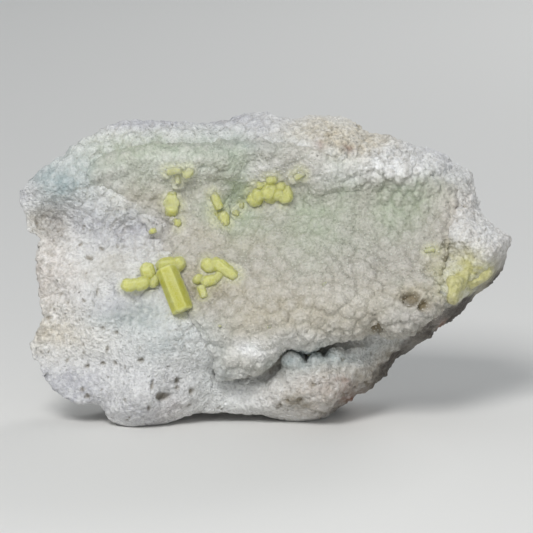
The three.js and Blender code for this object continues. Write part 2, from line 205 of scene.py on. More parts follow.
def domes(points, spacing, seed, stretch=(1, 1, 1)):
    """Height of the dome field, from 0 to 1, and how near each point is to a crease."""
    places = points + DOME_WARP * spacing * np.column_stack(
        [noise(points, 1.4 * spacing, seed + k) for k in (2, 3, 4)]
    )
    places = places * np.array(stretch)
    seeds = places[scattered(places, spacing, seed)]
    rng = np.random.default_rng(seed + 1)
    reach = spacing * rng.uniform(0.75, 1.15, len(seeds))
    top = rng.uniform(0.75, 1, len(seeds))
    tree = search_tree(seeds)
    heights = np.empty((len(places), 4))
    for n, p in enumerate(places):
        heights[n] = sorted(top[i] - (d / reach[i]) ** 2 for _, i, d in tree.find_n(p, 4))
    crease = 1 - ease(heights[:, 3] - heights[:, 2], 0, CREASE_STEP)
    blended = np.log(np.exp(heights * BLEND).sum(axis=1)) / BLEND
    return np.clip(blended, 0, 1), crease


# %% [markdown]
# ## Mesh tools
#
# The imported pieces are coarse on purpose. A voxel remesh wraps a piece in one even skin of small
# squares, and smoothing relieves that of its flat facets. Subdivision would keep the slivers of
# the coarse mesh. The new skin is fine enough to carry the relief as real shape.


# %% Points of a piece
def rows_of(items, field):
    """One vector of every item of a mesh, as rows."""
    flat = np.empty(len(items) * 3)
    items.foreach_get(field, flat)
    return flat.reshape(-1, 3)


def points_of(piece):
    """The piece's points in metres."""
    return rows_of(piece.data.vertices, "co")


def normals_of(piece):
    return rows_of(piece.data.vertex_normals, "vector")


def facing_of(piece):
    """How much each point faces the viewer, from -1 to 1."""
    return normals_of(piece) @ np.array(OUTWARD)


def move_to(piece, points):
    piece.data.vertices.foreach_set("co", np.asarray(points).ravel())
    piece.data.update()


def push(piece, rise):
    """Moves each point along its normal by `rise` millimetres."""
    move_to(piece, points_of(piece) + normals_of(piece) * (rise * MM)[:, None])


def settle(piece, most):
    """Pulls back every point that stands more than `most` mm off the middle of its neighbours."""
    points = points_of(piece)
    ends = np.empty(2 * len(piece.data.edges), np.int64)
    piece.data.edges.foreach_get("vertices", ends)
    a, b = ends.reshape(-1, 2).T
    total, count = np.zeros_like(points), np.zeros(len(points))
    for one, other in ((a, b), (b, a)):
        np.add.at(total, one, points[other])
        np.add.at(count, one, 1)
    off = points - total / np.maximum(count, 1)[:, None]
    length = np.linalg.norm(off, axis=1)
    spare = np.clip(length - most * MM, 0, None) / np.maximum(length, 1e-9)
    move_to(piece, points - off * spare[:, None])


# %% Loose parts
def shape_of(*meshes):
    """All these meshes in one editable shape."""
    shape = bmesh.new()
    for mesh in meshes:
        shape.from_mesh(mesh)
    return shape


def drop_crumbs(mesh):
    """Keeps the largest connected part of a mesh."""
    shape = shape_of(mesh)
    left, parts = set(shape.verts), []
    while left:
        edge_of_part = {left.pop()}
        part = set(edge_of_part)
        while edge_of_part:
            edge_of_part = {e.other_vert(v) for v in edge_of_part for e in v.link_edges} & left
            left -= edge_of_part
            part |= edge_of_part
        parts.append(part)
    parts.sort(key=len)
    bmesh.ops.delete(shape, geom=[v for part in parts[:-1] for v in part])
    shape.to_mesh(mesh)
    shape.free()


# %% Even skins
def wrap(piece, voxel, rounds=0):
    """Wraps a piece in one skin of even squares, and smooths it `rounds` times."""
    remesh = piece.modifiers.new("skin", "REMESH")
    remesh.mode = "VOXEL"
    remesh.voxel_size = voxel * MM
    if rounds:
        piece.modifiers.new("soften", "SMOOTH").iterations = rounds
    shaped = piece.evaluated_get(bpy.context.evaluated_depsgraph_get())
    mesh = bpy.data.meshes.new_from_object(shaped)
    piece.modifiers.clear()
    piece.data = mesh
    print(piece.name, "has", len(mesh.polygons), "squares")
    return mesh


def skin(name, node, voxel, rounds, root=0):
    """A new piece: the CAD node, and a copy of it sunk by `root` mm, in one even skin."""
    shape = shape_of(nodes[node].data)
    if root:
        copy = bmesh.ops.duplicate(shape, geom=shape.verts[:] + shape.edges[:] + shape.faces[:])
        sunk = [v for v in copy["geom"] if isinstance(v, bmesh.types.BMVert)]
        bmesh.ops.translate(shape, verts=sunk, vec=-OUTWARD * root * MM)
    mesh = bpy.data.meshes.new(name)
    shape.to_mesh(mesh)
    shape.free()
    piece = new_object(name, mesh)
    drop_crumbs(wrap(piece, voxel, rounds))
    piece.data.shade_smooth()
    return piece


# %% [markdown]
# An even skin spends as many squares on the hidden side as on the front, so it is made coarse,
# and only the squares that will be seen are cut in four.


# %% Finer squares where they are seen
def refine(piece, seen):
    """Cuts the squares in four whose points are all marked in `seen`."""
    shape = shape_of(piece.data)
    squares = [square for square in shape.faces if all(seen[v.index] for v in square.verts)]
    edges = list({edge for square in squares for edge in square.edges})
    bmesh.ops.subdivide_edges(shape, edges=edges, cuts=1, use_grid_fill=True)
    shape.to_mesh(piece.data)
    shape.free()
    piece.data.shade_smooth()
    triangles = sum(len(polygon.vertices) - 2 for polygon in piece.data.polygons)
    print(piece.name, "now has", triangles, "triangles")


# %% [markdown]
# ## Zones of the face
#
# Colour and texture change across the specimen: green where the crust is thick, bluish where it
# is thin, cream and pink on bare rock, brown where iron stained it. Some zones also paint light
# and shade: lilac, olive, brown and blue put painted shade under ledges, beside crystals and on
# edges, and white puts painted light on slopes and lips that lie in shade. Each zone is a handful
# of soft ovals, warped by noise so that its edge wanders, and stored on the mesh as a named
# attribute by which the materials mix their colours.


# %% Zones
# Each oval is x, up, half-width, half-height and strength
ZONES = {
    "green": [
        (-24, 59, 17, 6, 1), (-6.5, 53, 3, 11, 1), (-9, 47, 8, 4, 0.8), (17, 56, 4, 6, 0.8),
        (9, 49, 6, 5, 0.7), (29, 49, 7, 6, 0.8), (10, 42, 12, 6, 0.5), (36, 53, 6, 5, 0.6),
    ],
    # olive: the crust's olive tint, and painted shadow beside the crystals and under the left
    # tongue
    "olive_and_painted_shade": [
        (-28, 48, 8, 6, 0.7), (-12, 41, 13, 4, 0.5), (2, 26, 14, 9, 0.6), (-8, 20, 9, 6, 0.5),
        (20, 27, 12, 6, 0.5), (31.5, 29, 4, 4, 1), (42, 38, 6, 3, 0.7), (-50, 46, 6, 4, 0.6),
        (-15, 33, 3, 3, 0.9), (-10.5, 31, 5, 2, 0.8), (-33, 37, 4, 3, 0.4), (-40, 33, 4, 2, 0.3),
    ],
    # blue: the bluish thin crust and knobs, and painted shade in the shaded spot left of the main
    # cluster
    "blue_and_painted_shade": [
        (-46, 55, 9, 5, 1), (-12, 16, 5, 8, 0.4), (-7, 8, 9, 5, 0.5), (-30, 26.5, 8, 3, 1),
        (-20, 20, 8, 5, 0.5), (6, 14, 6, 3.5, 1), (14, 16, 6, 3, 0.9), (28, 17.5, 8, 2.5, 0.6),
        (-36, 47, 9, 3, 0.5), (-2, 63, 14, 3, 0.4),
    ],
    "cream": [
        (16, 65.5, 13, 4.5, 1), (24, 62, 6, 2.5, 0.6), (-47, 24, 5, 4, 0.7), (-46, 20, 8, 5, 0.5),
        (50, 44, 4, 4, 0.8), (-47, 34, 4, 6, 0.6),
    ],
    "pink": [
        (-47, 33, 6, 9, 0.8), (51, 40, 5, 6, 0.7), (43, 48, 6, 6, 0.4), (-52, 54, 3, 3, 0.3),
        (-23, 4, 5, 2, 0.6), (18, 8, 18, 6, 0.7),
    ],
    # brown: iron stain, and painted shade under the left tongue and beside the right cluster
    "brown_stain_and_painted_shade": [
        (-50, 46, 5, 2.2, 0.5), (-46, 43.5, 4, 2.2, 0.6), (27, 8, 6, 5, 0.7), (10, 6, 9, 4, 0.5),
        (19, 13.5, 6, 2.5, 0.4), (28, 11, 8, 5, 0.6), (7, 7, 2, 2, 0.7), (-12.5, 30, 5, 4, 0.55),
        (4, 12.4, 4, 1.5, 0.4), (-30, 26.5, 6, 3, 0.3), (13, 13, 4, 2, 0.3), (43, 26, 8, 3, 0.6),
        (36, 19, 6, 3, 0.7), (-33, 35, 4, 2.5, 0.3), (-26, 7, 13, 5, 0.22), (-8, 6, 8, 4, 0.15),
        (29, 17, 5, 3, 0.4),
    ],
    "rust": [
        (20, 8, 4, 1.6, 1), (49, 31, 3, 1.5, 1), (39, 23, 2.5, 1.5, 1), (12, 62, 1.2, 1.2, 0.6),
        (19, 62.5, 1.5, 1.2, 0.7), (17.5, 11, 2, 1, 0.6),
    ],
    # lilac: a grey-lilac tint, and painted shade along the top ridge and the lower left edge
    "lilac_and_painted_shade": [
        (-28, 68, 10, 3, 0.9), (-8, 68, 12, 3, 0.9), (-47, 10, 8, 5, 0.8), (-30, 4, 12, 4, 0.7),
        (-24, 12, 13, 5, 0.5), (38, 62, 8, 4, 0.7), (-40, 47, 9, 5, 0.8), (-30, 43, 8, 4, 0.7),
        (-33, 29, 8, 3, 0.6), (-43, 10, 8, 4, 0.5), (-54, 53, 4, 4, 0.6), (30, 24, 5, 3, 0.3),
        (38, 58, 8, 4, 0.5),
    ],
    # white: a little pale rock, and mostly painted light on slopes, the crust's lower lip and the
    # right tip
    "white_and_painted_light": [
        (-21, 57.5, 9, 3, 0.45), (20, 57, 14, 3.5, 0.65), (-2, 57, 5, 3, 0.5), (30, 57, 6, 3, 0.7),
        (3, 19, 7, 2.5, 0.55), (-3, 18, 4, 3, 0.8), (14, 21, 7, 2, 0.3), (-33, 55, 4, 3, 0.3),
        (49, 44, 6, 7, 0.9), (34, 60, 10, 5, 0.6), (-14, 17, 5, 7, 0.6), (-6, 6, 8, 4, 0.6),
        (17, 29, 5, 3, 0.2), (-46, 24, 5, 3, 0.5), (-45, 33, 5, 8, 0.4),
    ],
    "mustard": [(40.5, 31, 3.6, 4, 1), (45.5, 34.5, 5.5, 3, 1), (41, 38, 5, 2.5, 0.4)],
    "coarse": [  # where light and dark grains lie side by side
        (-48, 34, 8, 13, 1), (-50, 22, 5, 8, 0.7), (51, 40, 6, 8, 0.7), (43, 46, 6, 10, 0.6),
        (28, 57, 10, 8, 0.9), (22, 9, 15, 6, 1), (38, 22, 10, 4, 1), (17, 65, 14, 4, 0.8),
    ],
}
COLOURED = tuple(ZONES)  # zones that a material reads: those added further on shape the relief
WARP = [(9, 2.2), (3, 0.8)]  # size and reach of the wandering of the zones' edges, mm


def zone(name, face):
    """Strength of a zone at points of the face, from 0 to 1."""
    warped = face.copy()
    for n, (size, reach) in enumerate(WARP):
        warped[:, 0] += reach * noise(face, size, 40 + n)
        warped[:, 1] += reach * noise(face, size, 50 + n)
    x, up = warped[:, 0], warped[:, 1]
    total = 0
    for x0, up0, half_width, half_height, strength in ZONES[name]:
        far = ((x - x0) / half_width) ** 2 + ((up - up0) / half_height) ** 2
        total = total + strength * np.exp(-far)
    return np.clip(total, 0, 1)


def store(piece, name, values):
    attribute = piece.data.attributes.new(name, "FLOAT", "POINT")
    attribute.data.foreach_set("value", np.asarray(values, np.float32))


def store_all(piece, front, **values):
    """Stores values, and the other coloured zones, which fade where it isn't the front."""
    for name, value in values.items():
        store(piece, name, value)
    face = to_face(points_of(piece))
    for name in COLOURED:
        if name not in values:
            store(piece, name, zone(name, face) * front)


# %% [markdown]
# ## Where the crust ends
#
# At its lower edge the crust stands out as a ledge, but to the left and at the top it thins out
# into the rock. Its outline is where its CAD solid turns from facing front to facing back.


# %% Outline of the crust
def outline_of(node, turned=-0.3):
    """Points on the face where a node's faces turn from front to back, at `turned` of facing."""
    shape = shape_of(nodes[node].data)
    bmesh.ops.remove_doubles(shape, verts=shape.verts, dist=1e-6)
    shape.normal_update()
    rim = []
    for edge in shape.edges:
        sides = [face.normal.dot(OUTWARD) > turned for face in edge.link_faces]
        if len(sides) == 2 and sides[0] != sides[1]:
            rim += [edge.verts[0].co.lerp(edge.verts[1].co, t) for t in (0, 0.33, 0.67)]
    shape.free()
    return to_face([p[:] for p in rim])


def distances(face, outline):
    """Distance on the face, mm, from each point to the nearest point of an outline."""
    flat = (1, 1, 0)
    tree = search_tree(outline * flat)
    return np.array([tree.find(p)[2] for p in face * flat])


def tree_of(*names):
    """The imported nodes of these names, ready to cast rays at."""
    shape = shape_of(*[nodes[name].data for name in names])
    found = BVHTree.FromBMesh(shape)
    shape.free()
    return found


FADE = 7  # width over which a feathered edge sinks, mm
crust_outline = outline_of("green_crust")
print("outline of the crust:", len(crust_outline), "points")

# Where the crust's edge is a ledge, where the rock's rim is broken, where the crust's domes are
# low, and where its edge is lost in the rock
ZONES["ledge"] = [
    (-7, 12, 3, 2.5, 1), (0, 12, 5, 3, 1), (6, 15.5, 4, 4, 1), (14, 18, 6, 3, 1),
    (24, 21, 6, 3, 1), (28, 18.5, 5, 3, 1), (33, 20, 5, 3, 0.8),
]
ZONES["broken_rim"] = [
    (54, 33, 5, 4, 1), (47, 27, 7, 5, 1), (40, 21, 7, 5, 1), (31, 12, 7, 5, 1), (22, 5, 7, 4, 1),
]
ZONES["smooth"] = [
    (-26, 58, 13, 6, 1), (-10, 56, 9, 8, 0.8), (-46, 54, 8, 5, 0.6), (-14, 12, 7, 9, 0.6),
]
ZONES["feather"] = [
    (-38, 52, 9, 9, 1), (-30, 46, 7, 6, 1), (-27, 41, 5, 5, 1), (-24, 35, 5, 5, 1),
    (-20, 28, 4, 5, 1), (-17, 21, 4, 5, 1), (-13, 15, 4, 4, 0.6), (-36, 62, 9, 5, 1),
    (-20, 66, 14, 4, 1), (-2, 67, 10, 4, 1), (14, 62, 14, 4, 1), (34, 60, 9, 4, 1),
    (43, 54, 4, 7, 1), (42, 44, 3, 7, 0.8), (36, 20.5, 3.5, 2.5, 0.8),
]

# %% [markdown]
# ## Host rock
#
# The host rock is a fine-grained, sugary mass of white carbonate and sulphate, riddled with small
# pores. Its relief is built in layers, from the broken lumps down to the grains, and the pores
# are pressed in last. Under the crust's ledge it falls back, but for a few knobs. The feet stay
# flat.

# %% Host rock: pores and knobs
PORES = [  # x, up, half-width, half-height, depth
    (-36, 22.5, 0.4, 0.4, 0.9), (-33, 21.5, 0.5, 0.4, 1), (-35, 17.8, 0.25, 0.9, 0.8),
    (-27.5, 15.5, 0.65, 0.55, 1.3), (-36, 14.8, 0.6, 0.4, 0.8), (-33.2, 15, 0.4, 0.4, 1),
    (-39.5, 14, 0.6, 0.5, 1), (-40.5, 9, 0.45, 0.45, 1), (-39.5, 7.5, 0.6, 0.4, 1),
    (-25, 10, 0.3, 0.9, 0.9), (-19.8, 11, 0.55, 0.5, 1.3), (-19.6, 9.4, 0.45, 0.6, 1.3),
    (-16.5, 8.5, 0.6, 0.6, 1.2), (-22.6, 7.6, 1.3, 0.8, 2), (-25.5, 4.6, 0.35, 0.6, 0.8),
    (-17, 5.5, 0.5, 0.35, 0.8), (-31, 7, 0.35, 0.35, 0.7), (-44, 15.5, 0.45, 0.45, 0.8),
    (-48, 24.5, 0.45, 0.45, 0.8), (-45.5, 30, 0.5, 0.3, 0.6), (-39, 38, 0.7, 0.5, 0.8),
    (-36.5, 40, 0.4, 0.35, 0.7), (-33, 40.5, 0.35, 0.35, 0.7), (-41, 41, 0.4, 0.35, 0.7),
    (-37, 30.5, 0.3, 1.1, 0.8), (7, 6.6, 0.6, 0.7, 1.4), (12.5, 3.4, 0.7, 0.5, 1.2),
    (17, 7.7, 0.7, 0.5, 1.2), (10, 10, 0.8, 0.5, 1), (22, 10, 0.7, 0.5, 1),
    (3, 5.5, 0.6, 0.5, 0.9),
]
PITS = [  # hollows in the crust and in the rock behind it
    (31.3, 29.2, 1.9, 1.5, 2.8), (34.3, 27.7, 1.3, 1.3, 1.8), (41, 38, 2.4, 1.2, 0.5),
    (23.8, 22.4, 1.4, 0.9, 1.2), (-30.5, 43.8, 1.4, 0.9, 0.9),
]
PORE_FIELDS = [  # least x, most x, least up, most up, and how many
    (-54, -38, 17, 46, 60), (0, 34, 1, 17, 60), (40, 54, 34, 56, 20), (-38, -8, 2, 22, 16),
    (12, 26, 60, 68, 30),
]
PORE_SIZES = (0.14, 0.3)
KNOBS = [  # x, up, radius, height
    (5.8, 16.2, 2.8, 2.1), (10.4, 16, 1.9, 1.9), (12.6, 14.6, 1.4, 1.3), (15, 16.6, 2.1, 1.7),
    (19.6, 18, 2.2, 1.1), (8.4, 13.6, 1.3, 0.8), (2, 10, 2, 0.6), (20, 14, 1.8, 0.5),
    (-2, 12.6, 2.2, 0.7),
]
PORE_WARP = (0.9, 0.35)  # size and reach of the wandering of a pore's rim, mm


def pores(face, places):
    """How deep each point lies in a pore, from 0 to 1, and the depth in mm."""
    size, reach = PORE_WARP
    x0 = face[:, 0] + reach * noise(face, size, 61)
    up0 = face[:, 1] + reach * noise(face, size, 62)
    share, depth = np.zeros(len(face)), np.zeros(len(face))
    for x, up, half_width, half_height, deep in places:
        far = ((x0 - x) / half_width) ** 2 + ((up0 - up) / half_height) ** 2
        here = np.exp(-(far**1.5))
        share = np.maximum(share, here)
        depth = np.maximum(depth, deep * here)
    return share, depth


rock_outline = outline_of("matrix", turned=0.15)


def rims(face):
    """The broken rim, and the band along the rock's whole outline, both from 0 to 1."""
    away = distances(face, rock_outline)
    ragged = away + 0.9 * noise(face, 1.8, 95)
    return (1 - ease(ragged, 2, 3.2)) * zone("broken_rim", face), 1 - ease(away, 0.5, 3)


def random_pores(seed):
    rng = np.random.default_rng(seed)
    found = []
    for left, right, low, high, count in PORE_FIELDS:
        spots = np.column_stack([rng.uniform(left, right, count), rng.uniform(low, high, count)])
        sizes = rng.uniform(*PORE_SIZES, (count, 2))
        found += [(*spot, *size, 1.6 * size.sum()) for spot, size in zip(spots, sizes)]
    return found


# %% The collar round a crystal
COLLAR = 2.4  # mm round a crystal over which the druse lies calm
SKIRT = 1.8  # mm round a crystal over which it climbs to close the gap below
CLIMB = 0.25  # mm that it climbs where there is no gap
CALM = 0.8  # share of the relief that is lost right beside a crystal
NOT_CRYSTALS = ("matrix", "green_crust", "yellow_patch")
crystal_tree = tree_of(*[name for name in nodes if name not in NOT_CRYSTALS])


def collar(piece):
    """How near each point is to a crystal, 0 to 1, and how far it climbs to meet it, mm."""
    near, climb = np.zeros((2, len(piece.data.vertices)))
    for n, p in enumerate(points_of(piece)):
        place, normal, _, far = crystal_tree.find_nearest(Vector(p), COLLAR * MM)
        if place is None:
            continue
        step = (place - Vector(p)) / MM
        gap = step.dot(OUTWARD)
        near[n] = 1 - ease(far / MM, 0, COLLAR)
        climb[n] = CLIMB * near[n]
        if gap > 0 and step.dot(normal) < 0:
            beside = math.sqrt(max(step.length_squared - gap**2, 0))
            climb[n] += gap * (1 - ease(beside, 0, SKIRT))
    return near, climb


# %% Host rock: skin
ROCK_VOXEL = 0.81  # mm, before the front is refined
UNDERCUT = 1.9  # mm that the rock falls back under the crust's ledge
CHIP = 8  # mm across the scoops of the broken back
CORAL = 1.1  # mm across the knobs of the cream-coloured part
BACK, FRONT = -0.35, 0.15  # how much a point faces the viewer where the back ends and front starts

rock = skin("host_rock", "matrix", ROCK_VOXEL, rounds=6)
crust_tree = tree_of("green_crust")
face = to_face(points_of(rock))
facing = facing_of(rock)
from_edge = distances(face, crust_outline)
covered = [crust_tree.ray_cast(Vector(p), OUTWARD)[0] is not None for p in points_of(rock)]
refine(rock, (facing > BACK) & ~(covered & (from_edge > FADE)))

# %% Host rock: what lies where
face = to_face(points_of(rock))
front = ease(facing_of(rock), BACK, FRONT)
standing = ease(points_of(rock)[:, 2] / MM, 0.2, 1.6)  # 0 on the flat feet
broken = 1 - front
from_edge = distances(face, crust_outline)
rim, edge_band = rims(face)

pore, pore_depth = pores(face, [*PORES, *random_pores(5)])
_, pit_depth = pores(face, PITS)
feather = zone("feather", face)
coarse = zone("coarse", face) * front
# Domes over the rock: their width in mm, and a seed
coral, coral_crease = domes(face, CORAL, 15)
lumps, lump_crease = domes(face, 2.4, 11)
grains, _ = domes(face, 1.1, 13)
sugar, sugar_crease = domes(face, 0.85, 14)
chips, _ = domes(face, CHIP, 91)
# Stained rock is full of small hollows
vuggy = np.clip(zone("brown_stain_and_painted_shade", face) + zone("pink", face) * 0.6, 0, 1) * front
cream = zone("cream", face)
ledge = (1 - ease(from_edge, 0.8, 2.8)) * zone("ledge", face)
# Painted shadow in the crevice right under the ledge, where the knobs don't fill it
painted_ledge_shadow = (1 - ease(from_edge, 0.2, 1.8)) * zone("ledge", face)
knobs = np.zeros(len(face))
for x, up, radius, height in KNOBS:
    far = np.hypot(face[:, 0] - x, face[:, 1] - up) / radius
    knobs = np.maximum(knobs, height * np.sqrt(np.clip(1 - far**2, 0, 1)))
painted_ledge_shadow *= 1 - np.clip(knobs, 0, 1)

# %% Host rock: relief
# Each height is in mm, times the share of the zone that it belongs to
relief = 0.3 * fractal(face, 5, 1) + 0.12 * (lumps - 0.5) + 0.14 * (grains - 0.5)
relief += (0.08 + 0.14 * coarse) * noise(face, 0.75, 19)
relief += (0.12 + 0.3 * coarse) * (sugar - 0.5) + 0.35 * coarse * noise(face, 1.7, 101)
relief += 0.6 * vuggy * (fractal(face, 2.2, 7, 2) - 0.2)
relief += cream * (0.45 * (coral - 0.6) - 0.25 * coral_crease)
relief += broken * (1.2 * fractal(face, 9, 17) - 2.2 * chips - 0.7 * np.abs(fractal(face, 3, 23)))
relief += feather * (0.55 * (lumps - 0.5) - 0.12 * lump_crease) * front
relief += 0.9 * feather * (1 - ease(from_edge, 1, 5)) * front
relief += (knobs - 0.8 * pore_depth - 1.3 * pit_depth - UNDERCUT * ledge) * front
relief += 0.6 * zone("mustard", face) * front - 0.4 * rim * np.abs(noise(face, 1.6, 27))
relief += 0.3 * edge_band * (1 - zone("broken_rim", face)) * noise(face, 1, 33)
near, climb = collar(rock)
relief = relief * (1 - CALM * near) + climb * front
push(rock, relief * standing)
settle(rock, most=0.25)

# %% Host rock: values for its finish
# crease and dome paint shade in the creases and light on dome tops, pore also holds the painted
# ledge shadow, and halo is painted light round the crystals
crease = np.maximum(0.8 * coral_crease * cream, 0.6 * lump_crease * feather)
store_all(
    rock, front,
    dome=np.clip(0.6 * grains + 0.4 * lumps, 0, 1),
    coarse=coarse,
    crease=np.maximum(crease, (0.25 + 0.45 * coarse) * sugar_crease),
    pore=np.maximum(0.75 * pore, 0.8 * painted_ledge_shadow) * front,
    broken=broken,
    rim=rim * (1 - zone("rust", face)),
    halo=near**2,
)
face = to_face(points_of(rock))
print("rock on the face, mm:", face.min(0).round(1), face.max(0).round(1))

# %% [markdown]
# ## Green crust
#
# The crust is botryoidal: its domes are 2 to 4 mm across, and each is itself a tuft of finer
# crystals. A copy of its solid is sunk into the rock first, so that no gap shows under its edge.
# Where the edge is lost in the rock, the crust sinks below the surface and draws in, so that it
# doesn't stand out past the rock at the sides.

# %% Green crust: skin
CRUST_VOXEL = 0.57  # mm, before the front is refined
CRUST_ROOT = 1.1  # mm that the crust's skin reaches into the rock
SINK = 1.9  # mm that a feathered edge sinks

crust = skin("green_crust_skin", "green_crust", CRUST_VOXEL, rounds=5, root=CRUST_ROOT)
refine(crust, facing_of(crust) > -0.45)
face = to_face(points_of(crust))
normals = normals_of(crust)
facing = normals @ np.array(OUTWARD)
front = ease(facing, -0.9, -0.4)
from_edge = distances(face, crust_outline)
feather = zone("feather", face)
sink = SINK * feather * (1 - ease(from_edge, 0.5, FADE))
sideways = normals - np.outer(facing, OUTWARD)
move_to(crust, points_of(crust) - (sink * MM)[:, None] * (sideways * 0.8 + np.array(OUTWARD)))

# %% Green crust: relief
face = to_face(points_of(crust))
upright = ease(face[:, 0], 20, 26) * ease(face[:, 1], 36, 44)  # where domes are like columns
smooth = zone("smooth", face)
wide, wide_crease = domes(face, 3.4, 21)
small, small_crease = domes(face, 2.4, 23)
mix = ease(noise(face, 9, 39), -0.3, 0.3)  # patches of wide domes among small ones
big, big_crease = mix * wide + (1 - mix) * small, mix * wide_crease + (1 - mix) * small_crease
tall, tall_crease = domes(face, 1.9, 25, stretch=(1, 0.55, 1))
tufts, tuft_crease = domes(face, 0.95, 29)
big = big * (1 - upright) + tall * upright
crease = big_crease * (1 - upright) + tall_crease * upright
pit, pit_depth = pores(face, PITS)
rim, _ = rims(face)
coarse = zone("coarse", face)
relief = (1 - 0.75 * smooth) * (0.95 * (big - 0.5) - 0.06 * crease + 0.5 * fractal(face, 7, 31, 2))
relief *= 1 + 1.1 * upright * coarse
relief += 0.2 * (tufts - 0.5) + 0.3 * coarse * (tufts - 0.5)
lip = (1 - ease(from_edge, 1, 4)) * (1 - feather)  # the ledge, thick with knobs
relief += lip * (0.7 * (big - 0.4) + 0.3 * (tufts - 0.5))
relief += 0.07 * noise(face, 0.6, 35) - pit_depth - 0.3 * rim * np.abs(noise(face, 1.6, 27))
near, climb = collar(crust)
push(crust, (relief * (1 - CALM * near) + climb) * front)
settle(crust, most=0.22)

# %% Green crust: values for its finish
# crease and dome paint shade in the creases and light on dome tops, and halo is painted light round
# the crystals
store_all(
    crust, front,
    rim=rim,
    halo=near**2,
    coarse=coarse,
    dome=np.clip(0.65 * big + 0.35 * tufts, 0, 1),
    crease=np.clip((0.7 * crease + 0.25 * tuft_crease) * (1 - 0.5 * smooth), 0, 1),
    pore=np.clip(1.3 * pit, 0, 1),
)

# %% [markdown]
# ## Node helper and colours
#
# Every finish is a graph of shader nodes. One function adds a node, sets its properties, and sets
# or links its inputs. Colours are sRGB hex values, as a colour picker gives them, turned to the
# linear values that shaders work in.


# %% Nodes and colours
def add(tree, kind, inputs=None, **settings):
    """Adds a node. An input is a value, a node or socket to link, or a stored value's name."""
    made = tree.nodes.new("ShaderNode" + kind)
    for name, value in settings.items():
        setattr(made, name, value)
    for socket, value in (inputs or {}).items():
        if isinstance(value, str):
            value = add(tree, "Attribute", attribute_name=value).outputs["Fac"]
        if isinstance(value, bpy.types.Node):
            value = next(output for output in value.outputs if output.enabled)
        if isinstance(value, bpy.types.NodeSocket):
            tree.links.new(value, made.inputs[socket])
        else:
            made.inputs[socket].default_value = value
    return made


def linear(colour):
    """An sRGB hex colour as linear red, green, blue and alpha."""
    channels = [int(colour[i : i + 2], 16) / 255 for i in (1, 3, 5)]
    return [c / 12.92 if c <= 0.04045 else ((c + 0.055) / 1.055) ** 2.4 for c in channels] + [1]


def per_mm(size):
    """Scale of a texture whose pattern is `size` millimetres wide."""
    return 1 / (size * MM)


def new_material(name):
    made = bpy.data.materials.new(name)
    made.use_nodes = True
    made.node_tree.nodes.clear()
    return made, made.node_tree


A, B = 6, 7  # the colours that go into a Mix node


def painted(tree, colour, layers):
    """Lays colours over one another. A layer is two values to multiply, and its colour."""
    for value, share, shade in layers:
        amount = add(tree, "Math", {0: value, 1: share}, operation="MULTIPLY", use_clamp=True)
        colour = add(tree, "Mix", {0: amount, A: colour, B: linear(shade)}, data_type="RGBA")
    return colour


# %% [markdown]
# ## Mineral finish
#
# Rock and crust are both masses of tiny translucent grains. Light enters them and comes out
# nearby, which is subsurface scattering. Each grain is a flat facet turned its own way: a Voronoi
# pattern gives each cell one random direction, and the height along it makes a tilted plane in
# each cell, which bump mapping turns to facets.

# %% Mineral material
# Olive, brown, blue and lilac also stand for painted shade, and white for painted light, where
# their zones put them
ZONE_COLOURS = {
    "green": "#a8b29b", "olive_and_painted_shade": "#bab29f", "blue_and_painted_shade": "#a3b2b4", "cream": "#ded5c1",
    "pink": "#dfd2c9", "brown_stain_and_painted_shade": "#958b79", "rust": "#7a4a34", "lilac_and_painted_shade": "#c1c1c6",
    "white_and_painted_light": "#eeeeed", "mustard": "#c5c185",
}
PORE_CLAY_AND_LEDGE_SHADOW = "#7d7157"  # clay in the pores, and painted shadow in the crevice under the ledge
RIM = "#4b443d"  # glassy, dirty rock along the broken rim
PAINTED_HALO_LIGHT = "#d3d3a4"  # painted light: pale yellow that lifts the shade close round a crystal
GRAIN = 0.42  # mm across one facet
SPECK, GRIT_DEPTH = 0.55, 0.4  # mm across and deep, of the grit
WANDER = 4  # mm across the patches where a zone is stronger or weaker
BLOTCH = 1.5  # mm across the patches of dark grains where the rock is coarse
DARK_GRAIN = "#908a7e"
RUSTY = "#a08c74"  # iron stain on broken rock
STAIN = 11  # mm across the patches of that stain
REACH = 0.6  # mm that light travels inside the grains


